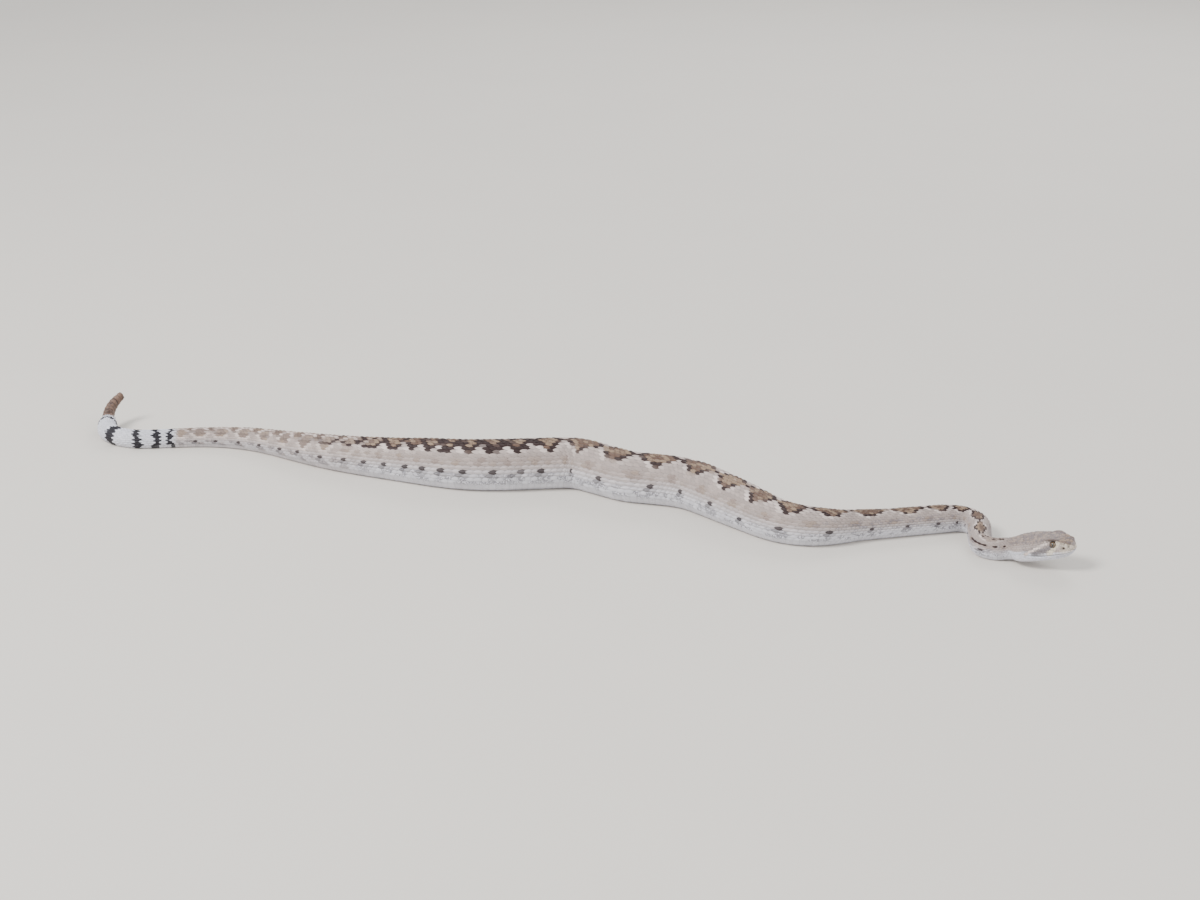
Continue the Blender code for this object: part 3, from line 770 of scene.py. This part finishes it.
def makeSkin(spec):
    cap = -head["snoutCap"] * np.cos(np.linspace(0, math.pi / 2, spec["capRings"] + 1))[:-1]
    end = course["length"] + 0.5 * mm
    stations = np.concatenate([cap, np.arange(0, spec["headEnd"], spec["headStep"]),
                               np.arange(spec["headEnd"], end, spec["bodyStep"])])
    # turns are closer where the lips meet
    even = np.linspace(0, 180, 721)
    density = (1 + 2.2 * np.exp(-((even - head["mouthTurn"]) / 6) ** 2)
               + 0.5 * np.exp(-((even - 66) / 20) ** 2))
    steps = np.concatenate([[0], np.cumsum((density[1:] + density[:-1]) / 2)])
    half = np.interp(np.linspace(0, steps[-1], spec["around"] // 2 + 1), steps, even)
    turns = np.concatenate([-half[::-1], half[1:]])
    deselect()
    bpy.ops.mesh.primitive_grid_add(x_subdivisions=len(stations) - 1, y_subdivisions=len(turns) - 1,
                                    size=2, location=(0, 0, 0))
    skin = bpy.context.object
    skin.name = "skin"
    mesh = skin.data
    flat = vertexPlaces(mesh)
    column = np.rint((flat[:, 0] + 1) / 2 * (len(stations) - 1)).astype(int)
    row = np.rint((flat[:, 1] + 1) / 2 * (len(turns) - 1)).astype(int)
    s, turn = stations[column], turns[row]
    # the mouth's crease
    shut = smooth((s - head["mouthCorner"] + 3 * mm) / (3 * mm))
    groove = (np.exp(-((np.abs(turn) - head["mouthTurn"]) / head["mouthWidth"]) ** 2) * (1 - shut)
              * smooth((s - 0.3 * mm) / (1.6 * mm)))
    places = surface(s, turn, -head["mouthDepth"] * groove)
    # the sockets, the heat pits and the nostrils are pressed in
    _, rightWay, upWay = eyeWays
    for side in (1, -1):
        away = places - headPoint(head["eye"], side)
        reach = (head["eyeRadius"] + head["socketRim"]) * mm
        inside = np.linalg.norm(away, axis=1) < reach
        outward = side * rightWay + 0.25 * upWay
        outward /= np.linalg.norm(outward)
        sink = np.where(inside, np.maximum(away @ outward, 0) + head["socketDepth"], 0)
        places = places - sink[:, None] * outward
        for key in ("pit", "nostril"):
            gap = np.linalg.norm(places - headPoint(head[key], side), axis=1)
            dent = smooth(1.35 - gap / (head[key + "Radius"] * mm)) * head[key + "Depth"] * mm
            places = places - side * rightWay * dent[:, None]
    setPlaces(mesh, places)
    for key, values in markings(s, turn, np.full(len(s), 0.5)).items():
        setNumbers(mesh, key, values)
    setNumbers(mesh, "tone", np.full(len(s), 0.5))
    mesh.uv_layers[0].name = "OFBake"
    bpy.ops.object.mode_set(mode="EDIT")
    bpy.ops.mesh.select_all(action="SELECT")
    bpy.ops.mesh.remove_doubles(threshold=spec["weld"])
    fillHoles()
    faceOutward()
    bpy.ops.object.shade_smooth()
    mesh.materials.append(bareSkin)
    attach(skin, "root")
    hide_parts("head", "neck", "forebody", "midbody_front", "midbody_rear", "hindbody",
                "tail")
    print("skin has", len(mesh.polygons), "faces")


makeSkin(skinSpec)

# The scales.
bodyKind = {
    "cutsAlong": 6, "cutsAcross": 6, "covered": 0.28, "rim": 0.3, "rootLift": -0.24,
    "rowsAlong": [(0, 0), (0.17, 0.22), (0.33, 0.42), (0.5, 0.6), (0.67, 0.77), (0.83, 0.91),
                  (1, 1)]}
plateKind = {
    "cutsAlong": 8, "cutsAcross": 8, "covered": 0.0, "thickness": 0.25, "keel": 0.0,
    "rootLift": -0.08, "tipLift": -0.04,
    "rowsAlong": [(0, 0), (0.125, 0.05), (0.25, 0.15), (0.5, 0.5), (0.75, 0.85), (0.875, 0.95),
                  (1, 1)]}
backScale = modelScale("back scale", bodyKind | {
    "outline": [(0, 0.55), (0.22, 0.90), (0.42, 1.0), (0.6, 0.95), (0.77, 0.76), (0.91, 0.44),
                (1, 0.13)],
    "dome": 0.20, "domePower": 2.0, "keel": 0.34, "keelDraw": 0.6, "tipLift": 0.40})
sideScale = modelScale("smooth side scale", bodyKind | {
    "outline": [(0, 0.6), (0.22, 0.93), (0.42, 1.0), (0.6, 0.97), (0.77, 0.84), (0.91, 0.56),
                (1, 0.2)],
    "dome": 0.22, "domePower": 2.2, "keel": 0.05, "tipLift": 0.36})
headScale = modelScale("small head scale", bodyKind | {
    "rowsAlong": [(0, 0), (0.17, 0.12), (0.33, 0.32), (0.5, 0.52), (0.67, 0.72), (0.83, 0.9),
                  (1, 1)],
    "outline": [(0, 0.42), (0.12, 0.72), (0.32, 0.97), (0.52, 1.0), (0.72, 0.86), (0.9, 0.55),
                (1, 0.28)],
    "dome": 0.22, "domePower": 2.0, "keel": 0.20, "keelDraw": 0.5, "rim": 0.34,
    "covered": 0.16, "rootLift": -0.20, "tipLift": 0.22})
lipPlate = modelScale("lip plate", plateKind | {
    "outline": [(0, 0.80), (0.05, 0.92), (0.15, 0.99), (0.5, 1.0), (0.85, 0.99), (0.95, 0.92),
                (1, 0.80)],
    "dome": 0.34, "domePower": 6.0, "rim": 0.16})
facePlate = modelScale("face plate", plateKind | {
    "outline": [(0, 0.52), (0.05, 0.70), (0.15, 0.88), (0.5, 1.0), (0.85, 0.88), (0.95, 0.70),
                (1, 0.52)],
    "dome": 0.36, "domePower": 3.4, "rim": 0.3})
bellyPlate = modelScale("belly plate", {
    "cutsAlong": 4, "cutsAcross": 36, "covered": 0.0, "thickness": 0.10,
    "rowsAlong": [(0, 0), (0.25, 0.35), (0.5, 0.7), (0.75, 0.92), (1, 1)],
    "outline": [(0, 0.96), (0.35, 1.0), (0.7, 0.99), (0.92, 0.975), (1, 0.955)],
    "dome": 0.05, "domePower": 8.0, "keel": 0.0, "rim": 0.2, "rootLift": -0.06, "tipLift": 0.28})
print("one scale of each kind is modelled")


def edgeTurn(s):
    # the belly plates grow narrower behind the vent
    narrower = smooth((s - body["vent"] + 6 * mm) / (8 * mm))
    return rows["edge"] + (rows["tailEdge"] - rows["edge"]) * narrower


def layStations(start, end, share):
    # places along the body, each a share of the pitch on from the last
    places = [start]
    while places[-1] < end:
        places.append(places[-1] + float(through(rows["pitch"], places[-1])) * mm * share)
    return np.array(places)


def backRows(start, end):
    # root place, turn and rows in from the edge of every scale between two places
    found = []
    for n, s in enumerate(layStations(1.2 * mm, course["length"] - 2.0 * mm, 0.5)):
        if not start <= s < end:
            continue
        spacing = float(through(rows["spacing"], s))
        last = int((edgeTurn(s) - 0.35 * spacing) / spacing)
        for row in range(-last, last + 1):
            if (row + n) % 2 == 0:
                found.append((s, row * spacing, last - abs(row)))
    return np.array(found).T


def onHeadPlate(s, turn):
    # True where an explicit plate, the eye, the pit or the nostril takes a small scale's place
    places = surface(s, turn, 0.0)
    angle, x = np.abs(turn), s / mm
    taken = (x < headCoat["lipEnd"]) & (angle > headCoat["lipTop"])
    taken |= (x < headCoat["noseEnd"]) & (angle < headCoat["noseEdge"])
    start, end, top, low = headCoat["browRoom"]
    taken |= (x > start) & (x < end) & (angle > top) & (angle < low)
    for side in (1, -1):
        for key, radius in head["clear"].items():
            taken |= np.linalg.norm(places - headPoint(head[key], side), axis=1) < radius * mm
    return taken


def evenly(turn, start, end, pitch):
    # places on one line along the head that are pitch apart on the skin
    fine = np.linspace(start, end, 1200)
    gaps = np.linalg.norm(np.diff(outline(fine, np.full(1200, turn)), axis=0), axis=1)
    run = np.concatenate([[0], np.cumsum(gaps)])
    return np.interp(np.linspace(0, run[-1], round(run[-1] / pitch) + 1), run, fine)


def eyeRing(side, count):
    # places of a ring of small scales round the eye, open under the brow plate
    s, turn = np.meshgrid(np.arange(6.5, 15.5, 0.1) * mm, side * np.arange(44, 100, 0.4),
                          indexing="ij")
    away = surface(s, turn, 0.0) - headPoint(head["eye"], side)
    across, up = away @ eyeWays[0], away @ eyeWays[2]
    reach = (head["eyeRadius"] + 0.42) * mm
    found = []
    for angle in np.linspace(math.radians(150), math.radians(390), count):
        gap = np.hypot(across - reach * math.cos(angle), up - reach * math.sin(angle))
        found.append((s.flat[gap.argmin()], turn.flat[gap.argmin()]))
    return np.array(found).T


def layPlates(side, plates, **more):
    # large plates: start in mm, turn, length in mm, half width in degrees
    start, turn, length, halfTurn = np.array(plates).T
    coat.lay(facePlate, start * mm, side * turn, length * mm, halfTurn, **more)


def layFront(side, plate, height, turn):
    # a plate on the rounded front: mm above its middle, mm to the right, its length and half its
    # width in mm, then its height as a share and the turn whose markings it takes
    layPlates(side, [plate], height=height, onto=frontFace, markAt=(0.2 * mm, turn))


bodyCoat = {
    # name, start, end
    "lengths": [("scales_neck", 0.040, 0.150), ("scales_forebody", 0.150, 0.290),
                ("scales_midbody_front", 0.290, 0.400), ("scales_midbody_rear", 0.400, 0.520),
                ("scales_hindbody", 0.520, 0.700), ("scales_tail", 0.700, 0.770)],
    # length and root as shares of the pitch, half widths as shares of the spacing
    "long": 1.72, "root": 0.35, "backWidth": 0.62, "sideWidth": 0.70, "fullPitch": 3.9 * mm,
}
for name, start, end in bodyCoat["lengths"]:
    coat = Coat(name, start - 0.004, end + 0.010)
    s, turn, fromEdge = backRows(start, end)
    pitch, spacing = through(rows["pitch"], s) * mm, through(rows["spacing"], s)
    wobble = rng.normal(0, 1, (3, len(s)))
    s = s - bodyCoat["root"] * pitch + 0.03 * pitch * wobble[0]
    length = bodyCoat["long"] * pitch * (1 + 0.03 * wobble[1])
    height = np.clip(pitch / bodyCoat["fullPitch"], 0.5, 1.1)
    for template, width, on in ((backScale, bodyCoat["backWidth"], fromEdge > 1),
                                (sideScale, bodyCoat["sideWidth"], fromEdge <= 1)):
        coat.lay(template, s[on], turn[on], length[on], width * spacing[on], height=height[on],
                 drift=0.25 * wobble[2][on])
    coat.finish(scaleSkin)

# head
headCoat = {
    # room kept for the lip plates, the snout plates and the brow plates, in mm and degrees
    "lipEnd": 27.5, "lipTop": 97, "noseEnd": 3.8, "noseEdge": 84, "browRoom": (6.9, 15.6, 24, 50),
    # turns of the rows of chin scales, and where the first three rows and the last two end
    "chin": [131.5, 142.0, 152.5, 163.0, 173.0], "chinEnds": (10.5, 1.4), "chinPitch": 1.25,
    # turn, start and half width in degrees of the upper and the lower lip plates
    "lips": [(103.1, 0.3, 6.3), (118.8, -0.1, 6.9)], "lipPitch": 1.85, "lastLip": 27.1,
    "shields": [(1.4, 167.0, 7.4, 12.8), (8.5, 168.5, 7.0, 11.3)],
    "brow": [(6.7, 37.5, 9.2, 14.0)],
    "nose": [(0.0, 11.5, 2.1, 11.5), (0.3, 38.0, 2.7, 14.5), (3.1, 27.5, 3.8, 11.5),
             (2.1, 13.0, 2.3, 11.0), (-0.2, 72.0, 1.5, 18.0), (2.4, 66.0, 1.6, 16.0)],
    "frontSide": (-1.45, 2.4, 1.4, 0.8), "front": (-1.50, 0.0, 3.1, 1.5),
    "frontChin": (-2.70, 0.0, 1.1, 1.0),
}
coat = Coat("scales_head", -0.002, 0.050)
s, turn, _ = backRows(0.0, 0.040)
free = ~onHeadPlate(s, turn)
s, turn = s[free], turn[free]
pitch = through(rows["pitch"], s) * mm
wobble = rng.normal(0, 1, (4, len(s)))
s = s - 0.5 * pitch + 0.09 * pitch * wobble[0]
coat.lay(headScale, s, turn + 0.6 * wobble[3], 1.45 * pitch * (1 + 0.08 * wobble[1]),
         5.7 + 0.35 * wobble[2], height=np.clip(pitch / (2.0 * mm), 0.6, 1.0) * 0.8)
# under the jaws and the throat
throat = []
for n, place in enumerate(np.arange(9.5, 40, 0.95)):
    for k in range(-1, 7):
        angle = 128 + (k + (n % 2) / 2) * 8.6
        behindLips = angle > 126 or place > headCoat["lipEnd"]
        onShields = place < 14.5 and angle > 158
        if angle < 179 and behindLips and not onShields:
            throat += [(place * mm, angle), (place * mm, -angle)]
s, turn = np.array(throat).T
coat.lay(headScale, s, turn, 2.4 * mm, 4.9, height=0.55)
for side in (1, -1):
    for row, line in enumerate(headCoat["chin"]):
        edges = evenly(side * line, -0.35 * mm, headCoat["chinEnds"][row > 2] * mm,
                       headCoat["chinPitch"] * mm)
        edges = edges + (row % 2) * 0.3 * mm
        coat.lay(headScale, edges[:-1], side * line, 1.5 * np.diff(edges), 6.4, height=0.6)
    # lip plates, from the snout back to the corner of the mouth
    for line, start, halfTurn in headCoat["lips"]:
        edges = evenly(side * line, start * mm, headCoat["lastLip"] * mm,
                       headCoat["lipPitch"] * mm)
        coat.lay(lipPlate, edges[:-1], side * line, np.diff(edges) * 1.03, halfTurn, height=0.9)
    # chin shields, brow plate, nose plates and the ring round the eye
    layPlates(side, headCoat["shields"], height=0.7)
    layPlates(side, headCoat["brow"], height=1.35, drift=-side * 2.0)
    layPlates(side, headCoat["nose"], height=0.75)
    layFront(side, headCoat["frontSide"], 0.7, 90)
    s, turn = eyeRing(side, 15)
    coat.lay(headScale, s - 0.5 * mm, turn, 1.15 * mm, 3.4, height=0.75)
layFront(1, headCoat["front"], 0.9, 90)
layFront(1, headCoat["frontChin"], 0.6, 125)
coat.finish(scaleSkin)

# belly
bellyCoat = {"start": 0.036, "pitch": 0.94, "long": 1.5, "overlap": 7}
coat = Coat("belly_plates", 0.030, course["length"] + 0.004)
stations = layStations(bellyCoat["start"], course["length"] - 3 * mm, bellyCoat["pitch"])
coat.lay(bellyPlate, stations, 180.0, through(rows["pitch"], stations) * mm * bellyCoat["long"],
         180 - edgeTurn(stations) + bellyCoat["overlap"], local=0.6)
coat.finish(scaleSkin)
print("belly plates:", len(stations))


# The eyes.
def eyeMaterial():
    nodes = Nodes("eye under its clear scale", 0.08)
    across, up = nodes.number("eyeAcross"), nodes.number("eyeUp")
    squareAcross, squareUp = across * across, up * up
    radius = nodes.sum("SQRT", squareAcross + squareUp)
    slit = nodes.sum("SQRT", squareAcross * 10.0 + squareUp * 1.5)
    fleck = nodes.noise(nodes.place(), 5200, 3.0)
    iris = nodes.mix(fleck.above(0.40, 0.62), srgb(78, 62, 46), srgb(128, 108, 82))
    iris = nodes.mix(fleck.above(0.60, 0.72), iris, srgb(70, 52, 36))
    iris = nodes.mix(radius.above(0.74, 0.98), iris, srgb(34, 26, 20))
    colour = nodes.mix(slit.above(0.80, 0.92), (0.003, 0.003, 0.003), iris)
    nodes.feed("Base Color", colour)
    nodes.shader.inputs["Coat Weight"].default_value = 1.0
    nodes.shader.inputs["Coat Roughness"].default_value = 0.03
    return nodes.material


eyeLook = eyeMaterial()
for side, label in ((1, "right"), (-1, "left")):
    deselect()
    bpy.ops.mesh.primitive_uv_sphere_add(segments=48, ring_count=32, radius=1.0,
                                         location=(0, 0, 0))
    eye = bpy.context.object
    eye.name = "eyeball_" + label
    # the sphere's poles point along the snake's side, so that the eye's face is round
    faceTail, faceUp, faceOut = vertexPlaces(eye.data).T
    swell = 1 + 0.05 * smooth((faceOut - 0.55) / 0.4)
    tailWay, rightWay, upWay = eyeWays
    look = side * rightWay - 0.10 * tailWay + 0.06 * upWay
    look /= np.linalg.norm(look)
    tailWay = tailWay - look * (tailWay @ look)
    tailWay /= np.linalg.norm(tailWay)
    upWay = np.cross(look, tailWay)
    upWay *= np.sign(upWay[2])
    ball = ((swell * faceOut)[:, None] * look + faceTail[:, None] * tailWay
            + faceUp[:, None] * upWay)
    setPlaces(eye.data, headPoint(head["eye"], side) + head["eyeRadius"] * mm * ball)
    setNumbers(eye.data, "eyeAcross", faceTail)
    setNumbers(eye.data, "eyeUp", faceUp)
    faceOutward()
    bpy.ops.object.shade_smooth()
    eye.data.materials.append(eyeLook)
    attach(eye, "root")
    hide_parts("eye_" + label)
print("eyes are in")


# The rattle.
def rattleMaterial():
    nodes = Nodes("dry horn")
    long, deep = nodes.number("alongSegment"), nodes.number("segmentTone")
    where = nodes.place()
    cloud, fine = nodes.noise(where, 260, 4.0), nodes.noise(where, 3000, 2.0)
    colour = nodes.mix(cloud.above(0.35, 0.65), srgb(70, 50, 42), srgb(126, 98, 82))
    # the rear of each segment, its narrow waist under the next one, is darkened as painted shade
    colour = nodes.mix(long.above(0.55, 1.0) * 0.75, colour, srgb(42, 30, 26))
    # the swelling front rim of each segment is paler, as a painted highlight
    colour = nodes.mix((1 - long.above(0.0, 0.22)) * 0.5, colour, srgb(168, 138, 120))
    colour = nodes.mix(deep.above(0.5, 1.0) * 0.4, colour, srgb(146, 116, 100))
    nodes.feed("Base Color", colour)
    nodes.feed("Roughness", 0.38 + 0.22 * fine)
    nodes.bumps(fine + cloud, 0.3, 0.0002)
    return nodes.material


rattleSpec = {
    "segments": 7, "base": (9.4, 12.0), "tip": (5.0, 6.6), "gap": 0.3 * mm, "groove": 0.16,
    "sides": 48,
    # place along a segment and its share of the full size, and how the last segment closes
    "profile": [(0.0, 0.62), (0.02, 0.80), (0.10, 0.95), (0.22, 1.0), (0.42, 0.99), (0.60, 0.93),
                (0.74, 0.84), (0.80, 0.90), (0.90, 0.91), (0.98, 0.84), (1.06, 0.70)],
    "lastEnd": [(0.90, 0.62), (0.98, 0.34)],
}


def makeRattle(spec):
    start = course["length"] + spec["gap"] / 2
    pitch = (course["rattle"] - spec["gap"]) / spec["segments"]
    axisHeight = float(girthAt(course["length"])[1]) / 2
    pieces = []
    for segment in range(spec["segments"]):
        share = segment / (spec["segments"] - 1)
        width, height = ((1 - share) * a + share * b for a, b in zip(spec["base"], spec["tip"]))
        profile = spec["profile"]
        if share == 1:
            profile = [(x, r) for x, r in profile if x < 0.9] + spec["lastEnd"]
        deselect()
        bpy.ops.mesh.primitive_cylinder_add(vertices=spec["sides"], radius=1, depth=2,
                                            end_fill_type="NGON", location=(0, 0, 0))
        made = bpy.context.object
        bpy.ops.object.mode_set(mode="EDIT")
        bpy.ops.mesh.select_mode(type="EDGE")
        bpy.ops.mesh.select_all(action="DESELECT")
        bpy.ops.object.mode_set(mode="OBJECT")
        for edge in made.data.edges:
            a, b = (made.data.vertices[k].co.z for k in edge.vertices)
            edge.select = abs(a - b) > 1
        bpy.ops.object.mode_set(mode="EDIT")
        bpy.ops.mesh.subdivide(number_cuts=len(profile) - 2)
        bpy.ops.object.mode_set(mode="OBJECT")
        flat = vertexPlaces(made.data)
        ring = np.rint((flat[:, 2] + 1) / 2 * (len(profile) - 1)).astype(int)
        x, size = np.array(profile).T
        angle = np.arctan2(flat[:, 0], flat[:, 1])
        # a groove along each side, and a slighter one on top and below
        lobes = (1 - spec["groove"] * np.abs(np.sin(angle)) ** 10
                 - 0.03 * np.abs(np.cos(angle)) ** 14)
        s = start + (segment + x[ring]) * pitch
        point, _, right, up = waysAt(s)
        y = width / 2 * mm * size[ring] * lobes * np.sin(angle)
        z = axisHeight + height / 2 * mm * size[ring] * lobes * np.cos(angle)
        setPlaces(made.data, point + y[:, None] * right + z[:, None] * up)
        setNumbers(made.data, "alongSegment", np.clip(x[ring], 0, 1))
        setNumbers(made.data, "segmentTone", np.full(len(flat), (segment * 0.37) % 1.0))
        pieces.append(made)
    deselect()
    for made in pieces:
        made.select_set(True)
    bpy.context.view_layer.objects.active = pieces[0]
    bpy.ops.object.join()
    rattle = bpy.context.object
    rattle.name = "rattle_segments"
    faceOutward()
    bpy.ops.object.shade_smooth_by_angle(angle=math.radians(50))
    rattle.data.materials.append(rattleMaterial())
    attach(rattle, "root")
    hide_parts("rattle")
    print("rattle has", len(rattle.data.polygons), "faces")


makeRattle(rattleSpec)

# Floor, light and camera.
studio = {
    "floor": srgb(228, 222, 213), "world": (0.95, 0.97, 1.0), "worldStrength": 0.9,
    # name, place, size, power in watts
    "lights": [("key light", (-1.6, -1.0, 2.0), 0.9, 78.0),
               ("fill light", (1.6, -1.6, 1.4), 1.6, 14.0),
               ("rim light", (0.8, 1.9, 1.5), 1.0, 16.0)],
    "cameraPlace": (course["snout"][0] - 0.2852, course["snout"][1] - 1.1590, 0.5),
    "cameraPitch": 70, "lens": 63.0,
}
deselect()
bpy.ops.mesh.primitive_plane_add(size=60, location=(0, 0, -0.00005))
floor = bpy.context.object
floor.name = "floor"
bpy.ops.object.transform_apply(location=True, rotation=True, scale=True)
floorLook = Nodes("pale floor", 0.7)
floorLook.feed("Base Color", floorLook.mix(floorLook.noise(floorLook.place(), 6.0), studio["floor"],
                                           tuple(0.96 * value for value in studio["floor"])))
floor.data.materials.append(floorLook.material)

for name, place, size, power in studio["lights"]:
    lamp = bpy.data.lights.new(name, "AREA")
    lamp.energy, lamp.size = power, size
    made = bpy.data.objects.new(name, lamp)
    bpy.context.scene.collection.objects.link(made)
    made.location = place
    aim = -np.array(place)
    made.rotation_euler = (math.acos(-aim[2] / np.linalg.norm(aim)), 0,
                           math.atan2(aim[1], aim[0]) - math.pi / 2)

world = bpy.context.scene.world or bpy.data.worlds.new("studio")
bpy.context.scene.world = world
world.use_nodes = True
background = world.node_tree.nodes["Background"].inputs
background["Color"].default_value = (*studio["world"], 1.0)
background["Strength"].default_value = studio["worldStrength"]

lens = bpy.data.cameras.new("camera")
lens.lens, lens.sensor_width, lens.clip_start = studio["lens"], 36.0, 0.01
camera = bpy.data.objects.new("camera", lens)
bpy.context.scene.collection.objects.link(camera)
camera.location = studio["cameraPlace"]
camera.rotation_euler = (math.radians(studio["cameraPitch"]), 0, 0)
bpy.context.scene.camera = camera
